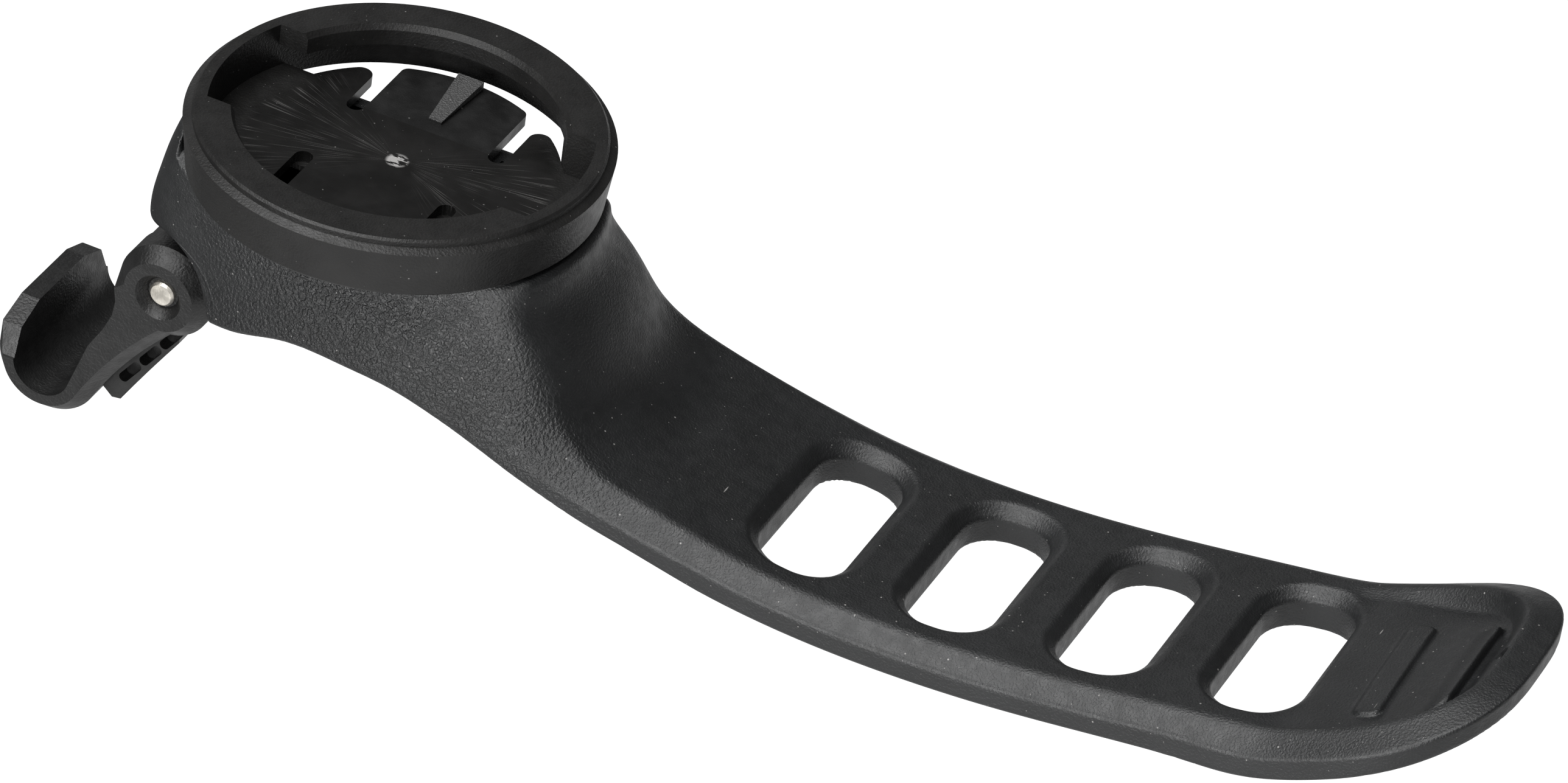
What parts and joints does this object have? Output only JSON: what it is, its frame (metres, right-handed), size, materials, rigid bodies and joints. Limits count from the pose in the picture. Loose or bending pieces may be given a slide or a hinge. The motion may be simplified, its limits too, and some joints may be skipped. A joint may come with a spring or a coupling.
{
  "type": "handlebar mount for a cycling computer",
  "caption": "Flexible handlebar mount with a quarter-turn dock for a cycling computer, a rubber strap with hook holes and a pivoting hook.",
  "frame": {"origin": "centre of the dock's top rim, on the dock's axis", "axes": "+Z out of the dock along its axis, +X along the strap from the dock to the pull tab, +Y along the hinge pin"},
  "size_m": [0.1358, 0.036, 0.0367],
  "materials": {
    "dock_plastic": "fine matt",
    "rubber": "fine grained",
    "hook_plastic": "fine matt",
    "pad": "smooth",
    "pin_steel": "dull"
  },
  "bodies": {
    "body": {"dock_cup": "dock_plastic", "hinge_frame": "dock_plastic", "rubber_body": "rubber"},
    "detent_finger": {"detent_finger": "dock_plastic"},
    "hook": {"hook": "hook_plastic", "hook_pad": "pad", "hinge_pin": "pin_steel"},
    "strap_1": {"strap_1": "rubber"},
    "strap_2": {"strap_2": "rubber"},
    "strap_3": {"strap_3": "rubber"},
    "strap_4": {"strap_4": "rubber"},
    "strap_5": {"strap_5": "rubber"},
    "pull_tab": {"pull_tab": "rubber"}
  },
  "joints": [
    {"name": "hook_pivot", "type": "hinge", "parent": "body", "child": "hook", "pos_m": [-0.0167, 0, -0.0203], "axis": [0, 1, 0], "range_deg": [-70, 80]},
    {"name": "detent_flex", "type": "hinge", "parent": "body", "child": "detent_finger", "pos_m": [0, 0.0052, -0.00516], "axis": [1, 0, 0], "range_deg": [-6, 0], "stiffness_Nm_per_rad": 0.87},
    {"name": "strap_flex_1", "type": "hinge", "parent": "body", "child": "strap_1", "pos_m": [0.0245, 0, -0.02191], "axis": [0, 1, 0], "range_deg": [0, 40], "stiffness_Nm_per_rad": 0.04},
    {"name": "strap_flex_2", "type": "hinge", "parent": "strap_1", "child": "strap_2", "pos_m": [0.03572, 0, -0.02438], "axis": [0, 1, 0], "range_deg": [0, 40], "stiffness_Nm_per_rad": 0.04},
    {"name": "strap_flex_3", "type": "hinge", "parent": "strap_2", "child": "strap_3", "pos_m": [0.04918, 0, -0.02574], "axis": [0, 1, 0], "range_deg": [0, 40], "stiffness_Nm_per_rad": 0.04},
    {"name": "strap_flex_4", "type": "hinge", "parent": "strap_3", "child": "strap_4", "pos_m": [0.06263, 0, -0.02492], "axis": [0, 1, 0], "range_deg": [0, 40], "stiffness_Nm_per_rad": 0.04},
    {"name": "strap_flex_5", "type": "hinge", "parent": "strap_4", "child": "strap_5", "pos_m": [0.07608, 0, -0.02329], "axis": [0, 1, 0], "range_deg": [0, 40], "stiffness_Nm_per_rad": 0.04},
    {"name": "strap_flex_6", "type": "hinge", "parent": "strap_5", "child": "pull_tab", "pos_m": [0.08952, 0, -0.02028], "axis": [0, 1, 0], "range_deg": [0, 40], "stiffness_Nm_per_rad": 0.04}
  ]
}
